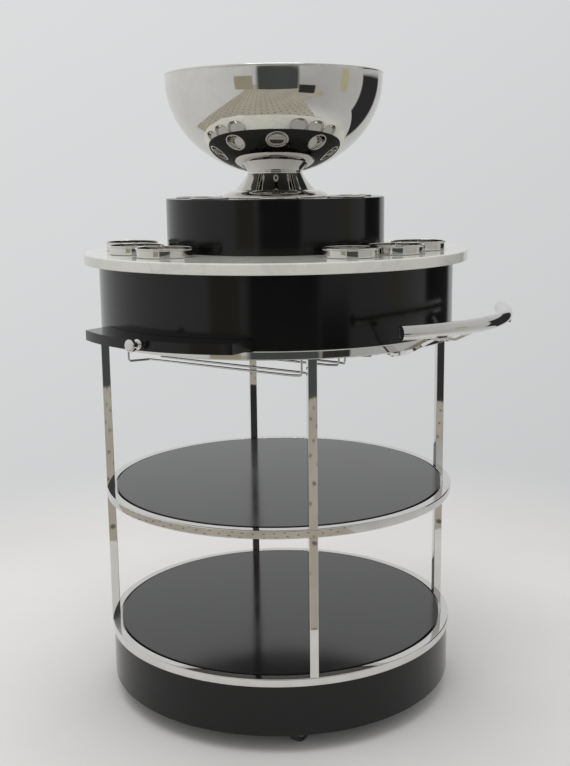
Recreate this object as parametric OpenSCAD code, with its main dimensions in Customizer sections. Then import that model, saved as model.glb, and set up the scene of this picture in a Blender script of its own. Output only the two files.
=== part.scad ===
// Round caviar serving cart.
// Millimetres, +Z up. The origin is on the floor under the cart's vertical axis. The pull-out tray
// opens toward -Y, the push handle is on the +X side, and directions round the axis are degrees from
// -Y toward +X. The tray is drawn pulled out by tray_pull, and the four casters trail toward -Y.

/* [Frame] */
// Outside diameter of the three chrome rings
ring_d = 700; // [680:2:760]
// Side of the square bar that the rings and posts are made of
bar = 16; // [12:0.5:20]
// Radial width of the ledge inside each ring that carries its panel
ledge_w = 12; // [8:1:20]
// Thickness of that ledge
ledge_t = 3; // [2:0.5:5]
// Chamfer on the outer edges of a ring
ring_edge = 0.8; // [0.4:0.1:1.5]
// Clear height between the base ring and the middle ring
lower_bay_h = 263; // [200:1:320]
// Clear height between the middle ring and the top ring
upper_bay_h = 301; // [240:1:360]
// Number of posts in each bay
post_n = 4; // [3:1:6]
// Direction of the first post
post_az = 45; // [30:1:60]
// Thickness of the base and middle shelf panels
panel_t = 14; // [13:0.5:18]
// Radial gap between a panel's edge and its ring
panel_gap = 4; // [1:0.5:6]

/* [Base skirt and casters] */
// Height of the skirt's lower edge above the floor
floor_clearance = 35; // [25:1:45]
// Height of the skirt
skirt_h = 97; // [85:1:120]
// How far the skirt and the apron stand in from the rings
drum_inset = 3; // [1:0.5:6]
// Wall of the skirt
skirt_wall_t = 12; // [8:1:16]
// Height of the caster's mounting face above the floor
caster_h = 72; // [68:1:80]
// Thickness of the board that carries the casters
board_t = 18; // [12:1:22]
// Number of casters
caster_n = 4; // [3:1:4]
// Radius at which the casters swivel
swivel_r = 278; // [240:1:280]
// Horizontal distance from swivel axis to axle
trail = 25; // [18:1:26]
// Wheel diameter
wheel_d = 50; // [40:1:50]
// Wheel width
wheel_w = 18; // [14:1:22]
// Space between the wheel and the fork's crown
wheel_gap = 5; // [4:0.5:6]
// Space between the wheel and a fork leg
leg_gap = 1.5; // [1:0.1:3]
// Thickness of the fork's plate
fork_t = 3; // [2:0.5:4]
// Axle diameter
axle_d = 8; // [6:0.5:10]
// Kingpin diameter
kingpin_d = 12; // [8:0.5:14]
// Radial running clearance of axles and kingpins
run_fit = 0.05; // [0.02:0.01:0.1]
// Thickness of a caster's square mounting plate
plate_t = 3; // [2:0.5:4]
// Distance between the plate's screws
plate_pitch = 42; // [38:1:48]
// Distance from those screws to the plate's edge
plate_margin = 7; // [6:0.5:9]
// Diameter of the swivel race under the plate
race_d = 34; // [30:1:38]
// Screw shank diameter
screw_d = 5; // [4:0.5:5]
// Screw head diameter
screw_head_d = 9; // [8:0.5:10]
// Screw head height
screw_head_h = 2.5; // [2:0.25:3]
// Length of a screw in the wood or steel that it holds to
screw_bite = 11; // [8:1:13]

/* [Apron and tray] */
// Height of the apron drum
apron_h = 130; // [110:1:150]
// Wall of the apron drum
apron_wall_t = 12; // [8:1:16]
// Thickness of the board under the stone top
sub_top_t = 16; // [12:1:20]
// How far the board under the tray stands above the top ring
floor_lift = 1.5; // [0:0.5:3]
// Width of the pull-out tray
tray_w = 335; // [280:1:360]
// Thickness of the tray
tray_t = 18; // [14:0.5:22]
// Distance of the closed tray's back edge behind the cart's axis
tray_back = 200; // [150:1:220]
// How far the tray is drawn out
tray_pull = 62; // [0:1:120]
// Tray travel from closed to fully open
tray_travel = 250; // [180:1:280]
// Side gap between tray and guide
tray_side_gap = 0.5; // [0.3:0.1:1]
// Gap over and under the tray
tray_lift_gap = 0.3; // [0.2:0.1:0.6]
// Wall of a tray guide
guide_t = 6; // [4:0.5:8]
// How far a guide's lip reaches over the tray
guide_lip = 10; // [6:1:14]
// Thickness of that lip
guide_lip_t = 3; // [2:0.5:4]
// Height of the tray's stop pegs
peg_h = 7; // [6:0.5:9]
// Diameter of the tray's stop pegs
peg_d = 8; // [6:0.5:10]
// Width of the stop bar that crosses the guides
stop_w = 12; // [8:1:16]
// Thickness of that stop bar
stop_t = 4; // [3:0.5:5]
// Height of the knob's centre above the tray's lower face
knob_rise = 11; // [8:0.5:12]
// Diameter of the knob's head
knob_d = 22; // [16:1:26]
// Diameter of the knob's neck
knob_neck_d = 10; // [8:0.5:12]
// Diameter of the knob's foot
knob_foot_d = 18.5; // [15:0.5:21]
// Distance of the knob's end from the tray
knob_l = 25; // [21:1:42]

/* [Top] */
// Diameter of the stone top
stone_d = 750; // [720:2:800]
// Thickness of the stone top
stone_t = 20; // [15:1:30]
// Rounded arris of the stone
stone_edge = 1; // [0.5:0.1:2]
// Diameter of the upper drum
upper_d = 427; // [410:1:450]
// Height of the upper drum
upper_h = 100; // [80:1:140]
// Side wall of the upper drum
upper_wall_t = 10; // [8:1:14]
// Thickness of the upper drum's top
upper_top_t = 12; // [9:1:18]
// Number of dishes round the bowl
dish_n = 7; // [5:1:7]
// Where the dishes sit between the bowl's foot and the drum's wall, as a share of the free width
dish_share = 0.732; // [0.4:0.001:0.9]
// Direction of the first dish
dish_az = 38.2; // [0:0.1:50]
// Diameter of a dish's body
dish_d = 66; // [56:1:68]
// Diameter of a dish's rim
dish_rim_d = 73; // [70:0.5:76]
// Depth of a dish under the drum's top
dish_depth = 28; // [20:1:40]
// Radial clearance of a dish in its well
dish_fit = 0.4; // [0.3:0.1:0.8]
// Sheet thickness of dishes and cups
sheet_t = 1.5; // [1:0.1:2]
// Height of a dish's rim
dish_rim_h = 2.6; // [2:0.1:4]
// Where the cups stand between the drum and the stone's edge, as a share of the free width
cup_share = 0.311; // [0.1:0.001:0.9]
// Angle between neighbouring cups of a group
cup_step_az = 22.5; // [22:0.5:30]
// Direction of the middle cup of the group near the handle
cup_az_1 = 85.2; // [70:0.1:100]
// Direction of the middle cup of the other group
cup_az_2 = -32.3; // [-60:0.1:-20]
// Diameter of a cup's straight body
cup_d = 100; // [90:1:104]
// How far a cup's rolled lip stands out from its body
cup_lip_w = 2; // [0.5:0.5:2.5]
// Height of a cup
cup_h = 17; // [14:0.5:30]
// Gap under anything that stands loose
seat_gap = 0.2; // [0.1:0.05:0.3]

/* [Bowl] */
// Outside diameter of the bowl
bowl_d = 419; // [390:1:440]
// Depth of the bowl's rounded body
bowl_depth = 180.4; // [150:0.2:200]
// Straight height between the rounded body and the rim's top
bowl_straight = 10; // [7:0.5:20]
// Height from the drum's top to the bowl's lowest point
bowl_rise = 43; // [36:0.5:55]
// Wall of the bowl and its foot
bowl_wall_t = 2; // [1.5:0.1:3]
// Radius of the bead round the rim
rim_bead = 2.2; // [1.6:0.1:3]
// Neck diameter of the foot
neck_d = 107; // [90:1:120]
// Diameter of the foot's flange
foot_d = 212; // [190:1:230]
// Diameter where the cone meets the flange
foot_crease_d = 157.6; // [145:0.2:170]
// Height of that crease above the drum
foot_crease_h = 14.5; // [10:0.5:20]
// How far the foot's cone curves in
foot_hollow = 1.8; // [0.5:0.1:3]

/* [Push handle] */
// Radius of the handle's arc
handle_r = 326; // [300:1:360]
// Distance of the arc's centre from the cart's axis
handle_offset = 135; // [110:1:150]
// Half of the arc's angle
handle_half = 38; // [34:1:42]
// Tube diameter
tube_d = 25; // [20:1:32]
// Tube wall
tube_wall_t = 1.5; // [1:0.1:3]
// Height of the tube's centre line over the top ring's upper face
handle_rise = 34; // [28:1:40]
// Length of the dark plug in each end, in degrees of the arc
plug_angle = 2; // [1:0.1:3]
// How deep the plug sits in the end, in degrees of the arc
plug_recess = 0.2; // [0.1:0.1:0.5]
// Angle of each bracket from the handle's middle
bracket_az = 17.6; // [14:0.1:22]
// Width of a bracket
bracket_w = 22; // [16:1:28]
// Thickness of a bracket
bracket_t = 5; // [4:0.5:6]
// How far the tube is let into a bracket
tube_seat = 1; // [0.5:0.1:1.5]
// Direction of the dark plug in the top ring's face
ring_plug_az = 52; // [50:1:60]
// Diameter of that plug
ring_plug_d = 12; // [8:0.5:12]

/* [Glass racks] */
// Number of racks
rack_n = 4; // [2:1:4]
// Distance between neighbouring racks
rack_pitch = 124; // [110:1:126]
// Distance between the two wires of a rack
rack_gap = 34; // [28:1:40]
// Wire diameter
wire_d = 4; // [3:0.5:5]
// Height of the wires' centre below the apron floor
rack_drop = 44; // [34:1:50]
// Where the straight wires end on the closed side
rack_end_x = 171; // [150:1:180]
// Where the straight wires end on the open side
rack_mouth_x = -162; // [-168:1:-140]
// How far a wire runs on past each of these points
rack_run = 20; // [15:1:26]
// How far a wire swings out at the mouth, as long as its pad stays clear of the next rack's
rack_flare = 37; // [15:1:37]
// How far a wire swings in at the closed end
rack_toe = 6; // [2:0.5:8]
// Diameter of the pad on top of a wire
pad_d = 12; // [9:0.5:14]
// Thickness of that pad
pad_t = 2; // [1.5:0.5:3]

/* [Hidden] */
ring_r = ring_d / 2;
ring_in_r = ring_r - bar;
drum_r = ring_r - drum_inset;
skirt_in_r = drum_r - skirt_wall_t;
apron_in_r = drum_r - apron_wall_t;
panel_r = ring_in_r - panel_gap;
edge_fit = 0.2;
stop_gap = 0.3;
big = 1000;
eps = 0.5;
fine = 128;
mid = 64;
small = 32;

z_base_ring = floor_clearance + skirt_h;
z_lower_posts = z_base_ring + bar;
z_mid_ring = z_lower_posts + lower_bay_h;
z_upper_posts = z_mid_ring + bar;
z_top_ring = z_upper_posts + upper_bay_h;
z_apron = z_top_ring + bar;
z_stone = z_apron + apron_h;
z_worktop = z_stone + stone_t;
z_upper_top = z_worktop + upper_h;
z_floor_under = z_top_ring + ledge_t;

z_deck = z_apron + floor_lift;
z_tray = z_deck + tray_lift_gap;
z_tray_top = z_tray + tray_t;
z_lip = z_tray_top + tray_lift_gap;
guide_x = tray_w / 2 + tray_side_gap;
peg_x = tray_w / 2 - 2 * guide_lip;
peg_y = tray_back - 2 * peg_d;
guide_front = sqrt(panel_r * panel_r - pow(guide_x + guide_t, 2)) - 4;
guide_back = tray_back + stop_gap + guide_t;
stop_y = peg_y - tray_travel - peg_d / 2 - stop_gap;

z_crown = wheel_d + wheel_gap;
z_fork_top = z_crown + fork_t;
z_plate = caster_h - plate_t;
plate_w = plate_pitch + 2 * plate_margin;
pin_head_d = kingpin_d + 6;
pin_head_h = 3.5;
race_gap = 0.3;
z_pin = z_crown - race_gap - pin_head_h;
leg_x = wheel_w / 2 + leg_gap;
leg_end_r = axle_d / 2 + 4;
axle_head_t = 2;

dish_in_r = (foot_d + dish_rim_d) / 2;
dish_out_r = upper_d / 2 - upper_wall_t - dish_d / 2;
dish_r = dish_in_r + dish_share * (dish_out_r - dish_in_r);
cup_lip_r = cup_d / 2 + cup_lip_w;
cup_in_r = upper_d / 2 + cup_lip_r;
cup_out_r = (stone_d - cup_d) / 2;
cup_r = cup_in_r + cup_share * (cup_out_r - cup_in_r);

bowl_r = bowl_d / 2;
z_bowl_axis = z_upper_top + bowl_rise + bowl_depth;
z_bead = z_bowl_axis + bowl_straight - rim_bead;
z_foot = z_upper_top + seat_gap;
neck_r = neck_d / 2;
weld_gap = 0.05;

z_handle = z_apron + handle_rise;
handle_az = 90;
foot_inner_r = ring_in_r;
foot_outer_r = ring_r + 11;
z_rack = z_floor_under - rack_drop;
flare = min(rack_flare, (rack_pitch - rack_gap - pad_d) / 2 - 1);
wire_bend = 7;
wire_steps = 3;
wire_sides = 10;

caster_ids = [for (i = [1:caster_n]) i];
cup_ids = [1:6];

// Places: a local frame turned round the cart's axis has its outward direction on -Y
function post_dir(i) = post_az + (i - 1) * 360 / post_n;
function caster_dir(i) = post_az + (i - 1) * 360 / caster_n;
function dish_dir(i) = dish_az + (i - 1) * 360 / dish_n;
function cup_dir(i) = (i <= 3 ? cup_az_1 : cup_az_2) + ((i - 1) % 3 - 1) * cup_step_az;
function rack_y(i) = (i - (rack_n + 1) / 2) * rack_pitch;
function bracket_dir(i) = handle_az + (i == 1 ? -bracket_az : bracket_az);
function arc(cx, cy, r, a0, a1, n) =
    [for (i = [0:n]) [cx + r * cos(a0 + (a1 - a0) * i / n), cy + r * sin(a0 + (a1 - a0) * i / n)]];

module out_at(r, az) {
    rotate([0, 0, az])
        translate([0, -r, 0])
            children();
}

module disc(r, t, edge) {
    rotate_extrude($fn = fine)
        polygon([[0, 0], [r - edge, 0], [r, edge], [r, t - edge], [r - edge, t], [0, t]]);
}

module tube_wall(r, wall, h, edge) {
    rotate_extrude($fn = fine)
        polygon([[r - wall, 0], [r - edge, 0], [r, edge], [r, h - edge], [r - edge, h], [r - wall, h]]);
}

// Frame
module ring_bar() {
    rotate_extrude($fn = fine)
        polygon([
            [ring_in_r - ledge_w, 0], [ring_r - ring_edge, 0],
            [ring_r, ring_edge], [ring_r, bar - ring_edge],
            [ring_r - ring_edge, bar], [ring_in_r, bar],
            [ring_in_r, ledge_t], [ring_in_r - ledge_w, ledge_t]]);
}

module base_ring() {
    color("silver")
        translate([0, 0, z_base_ring])
            ring_bar();
}

module mid_ring() {
    color("silver")
        translate([0, 0, z_mid_ring])
            ring_bar();
}

module top_ring() {
    color("silver")
        difference() {
            translate([0, 0, z_top_ring])
                ring_bar();
            for (i = [1:2])
                bracket_screw_places(i)
                    cylinder(d = screw_d, h = bracket_t + screw_bite, $fn = small);
            rotate([0, 0, ring_plug_az])
                translate([0, -ring_r - eps, z_top_ring + bar / 2])
                    rotate([-90, 0, 0])
                        cylinder(d = ring_plug_d - 2, h = bar / 2 + eps, $fn = small);
        }
}

module ring_plug() {
    color("black")
        rotate([0, 0, ring_plug_az])
            translate([0, -ring_r - 1.2, z_top_ring + bar / 2])
                rotate([-90, 0, 0])
                    union() {
                        cylinder(d = ring_plug_d, h = 1.2, $fn = small);
                        cylinder(d = ring_plug_d - 2, h = bar / 2, $fn = small);
                    }
}

module posts(z, h) {
    for (i = [1:post_n])
        out_at(ring_r - bar / 2, post_dir(i))
            translate([-bar / 2, -bar / 2, z])
                cube([bar, bar, h]);
}

module lower_posts() {
    color("silver")
        posts(z_lower_posts, lower_bay_h);
}

module upper_posts() {
    color("silver")
        posts(z_upper_posts, upper_bay_h);
}

module base_panel() {
    color("black")
        translate([0, 0, z_base_ring + ledge_t])
            disc(panel_r, panel_t, ring_edge);
}

module mid_panel() {
    color("black")
        translate([0, 0, z_mid_ring + ledge_t])
            disc(panel_r, panel_t, ring_edge);
}

module apron_floor() {
    color("black")
        translate([0, 0, z_floor_under])
            disc(panel_r, z_deck - z_floor_under, ring_edge);
}

// Base skirt and casters
module skirt_wall() {
    color("black")
        translate([0, 0, floor_clearance])
            tube_wall(drum_r, skirt_wall_t, skirt_h, ring_edge);
}

module screw_grid() {
    for (sx = [-1, 1])
        for (sy = [-1, 1])
            translate([sx * plate_pitch / 2, sy * plate_pitch / 2, 0])
                children();
}

module at_caster(i) {
    az = caster_dir(i);
    translate([swivel_r * sin(az), -swivel_r * cos(az), 0])
        children();
}

module caster_board() {
    color("black")
        difference() {
            translate([0, 0, caster_h])
                disc(skirt_in_r - edge_fit, board_t, ring_edge);
            for (i = caster_ids)
                at_caster(i)
                    screw_grid()
                        translate([0, 0, caster_h - eps])
                            cylinder(d = screw_d, h = screw_bite + eps, $fn = small);
        }
}

module caster_plates() {
    color("gainsboro")
        for (i = caster_ids)
            at_caster(i)
                difference() {
                    union() {
                        translate([-plate_w / 2, -plate_w / 2, z_plate])
                            cube([plate_w, plate_w, plate_t]);
                        translate([0, 0, z_fork_top + race_gap])
                            cylinder(d = race_d, h = z_plate - z_fork_top - race_gap, $fn = mid);
                        translate([0, 0, z_pin])
                            cylinder(d = kingpin_d, h = z_plate - z_pin, $fn = small);
                        translate([0, 0, z_pin])
                            cylinder(d = pin_head_d, h = pin_head_h, $fn = small);
                    }
                    screw_grid()
                        translate([0, 0, z_plate - eps])
                            cylinder(d = screw_d + 2 * edge_fit, h = plate_t + 2 * eps, $fn = small);
                }
}

module caster_screws() {
    color("gainsboro")
        for (i = caster_ids)
            at_caster(i)
                screw_grid()
                    union() {
                        translate([0, 0, z_plate - screw_head_h])
                            cylinder(d = screw_head_d, h = screw_head_h, $fn = small);
                        translate([0, 0, z_plate - screw_head_h])
                            cylinder(d = screw_d, h = screw_head_h + plate_t + screw_bite, $fn = small);
                    }
}

// One leg of a fork, drawn in the plane of the wheel: a round end on the axle and a web to the crown
module fork_leg() {
    rotate([90, 0, 90])
        linear_extrude(height = fork_t)
            union() {
                translate([-trail, wheel_d / 2])
                    circle(r = leg_end_r, $fn = small);
                polygon([
                    [-trail - leg_end_r, wheel_d / 2], [-trail + leg_end_r, wheel_d / 2],
                    [pin_head_d / 2, z_crown + eps], [-trail, z_crown + eps]]);
            }
}

module caster_fork(i) {
    color("gainsboro")
        at_caster(i)
            difference() {
                union() {
                    translate([-leg_x - fork_t, -trail, z_crown])
                        cube([2 * (leg_x + fork_t), trail, fork_t]);
                    translate([0, 0, z_crown])
                        cylinder(r = leg_x + fork_t, h = fork_t, $fn = mid);
                    translate([leg_x, 0, 0])
                        fork_leg();
                    translate([-leg_x - fork_t, 0, 0])
                        fork_leg();
                }
                translate([0, 0, z_crown - big / 2])
                    cylinder(d = kingpin_d + 2 * run_fit, h = big, $fn = small);
                translate([-big / 2, -trail, wheel_d / 2])
                    rotate([0, 90, 0])
                        cylinder(d = axle_d, h = big, $fn = small);
            }
}

module caster_axle(i) {
    half = leg_x + fork_t;
    color("gainsboro")
        at_caster(i)
            translate([0, -trail, wheel_d / 2])
                rotate([0, 90, 0])
                    union() {
                        cylinder(d = axle_d, h = 2 * half, center = true, $fn = small);
                        for (s = [-1, 1])
                            translate([0, 0, s * (half + axle_head_t / 2)])
                                cylinder(d = axle_d + 4, h = axle_head_t, center = true, $fn = small);
                    }
}

module caster_wheel(i) {
    bore_r = axle_d / 2 + run_fit;
    tread = 2;
    color("dimgray")
        at_caster(i)
            translate([0, -trail, wheel_d / 2])
                rotate([0, 90, 0])
                    rotate_extrude($fn = mid)
                        polygon([
                            [bore_r, -wheel_w / 2], [wheel_d / 2 - tread, -wheel_w / 2],
                            [wheel_d / 2, -wheel_w / 2 + tread], [wheel_d / 2, wheel_w / 2 - tread],
                            [wheel_d / 2 - tread, wheel_w / 2], [bore_r, wheel_w / 2]]);
}

// Apron
module apron_drum() {
    slot_w = 2 * guide_x;
    color("black")
        difference() {
            translate([0, 0, z_apron])
                tube_wall(drum_r, apron_wall_t, apron_h, ring_edge);
            translate([-slot_w / 2, -big, z_apron - eps])
                cube([slot_w, big, z_lip - z_apron + eps]);
        }
}

module sub_top() {
    color("black")
        translate([0, 0, z_stone - sub_top_t])
            disc(apron_in_r - edge_fit, sub_top_t, ring_edge);
}

// Two guides with their lips, the stop behind the closed tray and the bar that stops its pegs
module tray_guides() {
    color("gainsboro")
        union() {
            for (s = [-1, 1])
                scale([s, 1, 1])
                    union() {
                        translate([guide_x, -guide_front, z_deck])
                            cube([guide_t, guide_front + guide_back, z_lip - z_deck + guide_lip_t]);
                        translate([guide_x - guide_lip, -guide_front, z_lip])
                            cube([guide_lip + eps, guide_front + guide_back, guide_lip_t]);
                    }
            translate([-guide_x - eps, tray_back + stop_gap, z_deck])
                cube([2 * (guide_x + eps), guide_t, tray_t]);
            translate([-guide_x - guide_t, stop_y - stop_w, z_lip + guide_lip_t])
                cube([2 * (guide_x + guide_t), stop_w, stop_t]);
        }
}

module tray_board() {
    color("black")
        translate([0, -tray_pull, 0])
            union() {
                intersection() {
                    translate([0, 0, z_tray])
                        cylinder(r = drum_r, h = tray_t, $fn = fine);
                    translate([-tray_w / 2, -big, z_tray - eps])
                        cube([tray_w, big + tray_back, tray_t + 2 * eps]);
                }
                for (s = [-1, 1])
                    translate([s * peg_x, peg_y, z_tray_top - eps])
                        cylinder(d = peg_d, h = peg_h + eps, $fn = small);
            }
}

module tray_knob() {
    head_r = knob_d / 2;
    neck_r_k = knob_neck_d / 2;
    foot_r_k = knob_foot_d / 2;
    head_l = 0.4 * knob_d;
    dome = knob_d / 8;
    color("silver")
        translate([0, -tray_pull - drum_r, z_tray + knob_rise])
            rotate([90, 0, 0])
                rotate_extrude($fn = mid)
                    polygon(concat(
                        [[0, 0], [foot_r_k, 0], [foot_r_k, 3], [neck_r_k, 5],
                         [neck_r_k, knob_l - head_l - 4], [neck_r_k + 2, knob_l - head_l - 2],
                         [head_r, knob_l - head_l]],
                        [for (a = [0:15:90])
                            [(head_r - dome) * sin(90 - a) + dome * cos(a),
                             knob_l - head_l + (head_l - dome) + dome * sin(a)]],
                        [[0, knob_l]]));
}

// Top
module stone_top() {
    color("whitesmoke")
        translate([0, 0, z_stone])
            disc(stone_d / 2, stone_t, stone_edge);
}

module upper_drum() {
    r = upper_d / 2;
    color("black")
        difference() {
            translate([0, 0, z_worktop])
                rotate_extrude($fn = fine)
                    polygon([
                        [r - upper_wall_t, 0], [r, 0], [r, upper_h - ring_edge],
                        [r - ring_edge, upper_h], [0, upper_h],
                        [0, upper_h - upper_top_t], [r - upper_wall_t, upper_h - upper_top_t]]);
            for (i = [1:dish_n])
                out_at(dish_r, dish_dir(i))
                    translate([0, 0, z_upper_top - upper_top_t - eps])
                        cylinder(r = dish_d / 2 + dish_fit, h = upper_top_t + 2 * eps, $fn = mid);
        }
}

module dish(i) {
    r = dish_d / 2;
    low = -dish_depth;
    turn = 4 * sheet_t;
    edge = 0.6 * sheet_t;
    rim_r = dish_rim_d / 2;
    color("silver")
        out_at(dish_r, dish_dir(i))
            translate([0, 0, z_upper_top + seat_gap])
                rotate_extrude($fn = mid)
                    polygon([
                        [0, low], [r - turn, low], [r, low + turn], [r, 0], [rim_r, 0],
                        [rim_r, dish_rim_h - edge], [rim_r - edge, dish_rim_h],
                        [r - sheet_t + edge, dish_rim_h], [r - sheet_t, dish_rim_h - edge],
                        [r - sheet_t, low + turn],
                        [r - turn - sheet_t / 2, low + sheet_t], [0, low + sheet_t]]);
}

module cup(i) {
    r = cup_d / 2;
    turn = 1.3 * sheet_t;
    lip_t = 1.3 * sheet_t;
    edge = 0.5 * sheet_t;
    color("silver")
        out_at(cup_r, cup_dir(i))
            translate([0, 0, z_worktop + seat_gap])
                rotate_extrude($fn = mid)
                    polygon([
                        [0, 0], [r - turn, 0], [r, turn], [r, cup_h - lip_t - cup_lip_w],
                        [cup_lip_r, cup_h - lip_t], [cup_lip_r, cup_h - edge], [cup_lip_r - edge, cup_h],
                        [r - sheet_t + edge, cup_h], [r - sheet_t, cup_h - edge],
                        [r - sheet_t, turn + sheet_t / 2], [r - turn - sheet_t / 2, sheet_t],
                        [0, sheet_t]]);
}

// Bowl: a half ellipse of revolution, a short straight rim and a rolled bead
function bowl_z(r, a, b) = z_bowl_axis - b * sqrt(1 - r * r / (a * a));

module bowl() {
    a_out = bowl_r;
    b_out = bowl_depth;
    a_in = bowl_r - bowl_wall_t;
    b_in = bowl_depth - bowl_wall_t;
    steps = 28;
    bead_x = bowl_r - bowl_wall_t / 2;
    meet = acos(bowl_wall_t / 2 / rim_bead);
    color("silver")
        rotate_extrude($fn = fine)
            polygon(concat(
                [for (i = [0:steps]) let (t = 90 * i / steps)
                    [a_out * sin(t), z_bowl_axis - b_out * cos(t)]],
                arc(bead_x, z_bead, rim_bead, -meet, 180 + meet, 14),
                [for (i = [steps:-1:0]) let (t = 90 * i / steps)
                    [a_in * sin(t), z_bowl_axis - b_in * cos(t)]]));
}

module bowl_foot() {
    flange_r = foot_d / 2;
    crease_r = foot_crease_d / 2;
    z_crease = z_upper_top + foot_crease_h;
    z_neck = bowl_z(neck_r, bowl_r, bowl_depth) - weld_gap;
    z_neck_in = bowl_z(neck_r - bowl_wall_t, bowl_r, bowl_depth) - weld_gap;
    steps = 8;
    color("silver")
        rotate_extrude($fn = fine)
            polygon(concat(
                [[flange_r - 9, z_foot], [flange_r, z_foot], [flange_r, z_foot + 1.2],
                 [flange_r - 7.5, z_foot + 2.6]],
                [for (i = [0:steps]) let (k = i / steps)
                    [crease_r + (neck_r - crease_r) * k - foot_hollow * sin(180 * k),
                     z_crease + (z_neck - 2 - z_crease) * k]],
                [[neck_r, z_neck], [neck_r - bowl_wall_t, z_neck_in]],
                [for (i = [steps:-1:0]) let (k = i / steps)
                    [crease_r - bowl_wall_t + (neck_r - crease_r) * k - foot_hollow * sin(180 * k),
                     z_crease - bowl_wall_t + (z_neck - 2 - z_crease) * k]]));
}

// Push handle
module handle_arc(r, half) {
    translate([handle_offset, 0, z_handle])
        rotate([0, 0, -half])
            rotate_extrude(angle = 2 * half, $fn = fine)
                translate([handle_r, 0])
                    circle(r = r, $fn = mid);
}

module handle_tube() {
    color("silver")
        translate([handle_offset, 0, z_handle])
            rotate([0, 0, -handle_half])
                rotate_extrude(angle = 2 * handle_half, $fn = fine)
                    translate([handle_r, 0])
                        difference() {
                            circle(d = tube_d, $fn = mid);
                            circle(r = tube_d / 2 - tube_wall_t, $fn = mid);
                        }
}

module handle_plugs() {
    color("black")
        for (s = [-1, 1])
            translate([handle_offset, 0, z_handle])
                rotate([0, 0, s * (handle_half - plug_recess - plug_angle / 2) - plug_angle / 2])
                    rotate_extrude(angle = plug_angle, $fn = fine)
                        translate([handle_r, 0])
                            circle(r = tube_d / 2 - tube_wall_t, $fn = mid);
}

// Distance from the cart's axis to the handle's centre line, in a direction off the handle's middle
function handle_reach(az) =
    handle_offset * cos(az) + sqrt(handle_r * handle_r - pow(handle_offset * sin(az), 2));

module bracket_screw_places(i) {
    for (s = [-1, 1])
        rotate([0, 0, bracket_dir(i)])
            translate([s * bracket_w / 4, -ring_r + bar / 2, z_top_ring - bracket_t])
                children();
}

module handle_bracket(i) {
    reach = handle_reach(bracket_az);
    tab_in = tube_d / 2;
    tab_out = 0.4 * tube_d;
    step = 2;
    z_tab = z_handle - tube_d / 2 + tube_seat;
    z_low = z_top_ring - bracket_t;
    color("silver")
        difference() {
            rotate([0, 0, bracket_dir(i)])
                translate([bracket_w / 2, 0, 0])
                    rotate([90, 0, -90])
                        linear_extrude(height = bracket_w)
                            polygon([
                                [foot_inner_r, z_low], [foot_outer_r, z_low],
                                [reach - tab_in, z_tab - bracket_t], [reach + tab_out, z_tab - bracket_t],
                                [reach + tab_out, z_tab], [reach - tab_in - step, z_tab],
                                [foot_outer_r - step, z_top_ring], [foot_inner_r, z_top_ring]]);
            handle_arc(tube_d / 2, handle_half);
            bracket_screw_places(i)
                translate([0, 0, -eps])
                    cylinder(d = screw_d + 2 * edge_fit, h = bracket_t + 2 * eps, $fn = small);
        }
}

module bracket_screws() {
    color("silver")
        for (i = [1:2])
            bracket_screw_places(i)
                union() {
                    translate([0, 0, -screw_head_h])
                        cylinder(d = screw_head_d - 1, h = screw_head_h, $fn = small);
                    translate([0, 0, -screw_head_h])
                        cylinder(d = screw_d, h = screw_head_h + bracket_t + screw_bite, $fn = small);
                }
}

// Glass racks: two bent wires each, flared at the mouth, held to the apron floor by pads
function unit(v) = v / norm(v);

// The route with each inner corner rounded by a short curve
function rounded(route, r, n) =
    concat(
        [route[0]],
        [for (k = [1:len(route) - 2])
            let (c = route[k],
                 a = c + r * unit(route[k - 1] - c),
                 b = c + r * unit(route[k + 1] - c))
                for (i = [0:n]) let (s = i / n)
                    (1 - s) * (1 - s) * a + 2 * s * (1 - s) * c + s * s * b],
        [route[len(route) - 1]]);

function carried(dirs, side, k = 0, out = []) =
    k == len(dirs) ? out :
    let (v = unit(side - (side * dirs[k]) * dirs[k]))
        carried(dirs, v, k + 1, concat(out, [v]));

// A round wire swept along a route that starts upright
module wire(route, r, sides) {
    last = len(route) - 1;
    dirs = [for (k = [0:last])
        unit((k < last ? unit(route[k + 1] - route[k]) : [0, 0, 0])
            + (k > 0 ? unit(route[k] - route[k - 1]) : [0, 0, 0]))];
    side = carried(dirs, [0, 1, 0]);
    points = [for (k = [0:last]) for (j = [0:sides - 1])
        let (a = 360 * j / sides)
            route[k] + r * (cos(a) * side[k] + sin(a) * cross(dirs[k], side[k]))];
    walls = [for (k = [0:last - 1]) for (j = [0:sides - 1])
        let (n = (j + 1) % sides, p = k * sides, q = p + sides)
            each [[p + j, q + j, q + n], [p + j, q + n, p + n]]];
    polyhedron(points, concat(
        [[for (j = [0:sides - 1]) j]],
        walls,
        [[for (j = [sides - 1:-1:0]) last * sides + j]]));
}

function wire_y(i, side) = rack_y(i) + side * rack_gap / 2;

module glass_rack(i) {
    z_pad = z_floor_under - pad_t;
    mouth_x = rack_mouth_x - rack_run;
    end_x = rack_end_x + rack_run;
    color("silver")
        for (side = [-1, 1])
            let (y = wire_y(i, side), out_y = y + side * flare, in_y = y - side * rack_toe)
                wire(
                    rounded([
                        [mouth_x, out_y, z_pad], [mouth_x, out_y, z_rack], [rack_mouth_x, y, z_rack],
                        [rack_end_x, y, z_rack], [end_x, in_y, z_rack], [end_x, in_y, z_pad]],
                        wire_bend, wire_steps),
                    wire_d / 2, wire_sides);
}

module rack_pads() {
    color("silver")
        for (i = [1:rack_n])
            for (side = [-1, 1])
                translate([0, wire_y(i, side), z_floor_under - pad_t])
                    union() {
                        translate([rack_mouth_x - rack_run, side * flare, 0])
                            cylinder(d = pad_d, h = pad_t, $fn = small);
                        translate([rack_end_x + rack_run, -side * rack_toe, 0])
                            cylinder(d = pad_d, h = pad_t, $fn = small);
                    }
}

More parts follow.
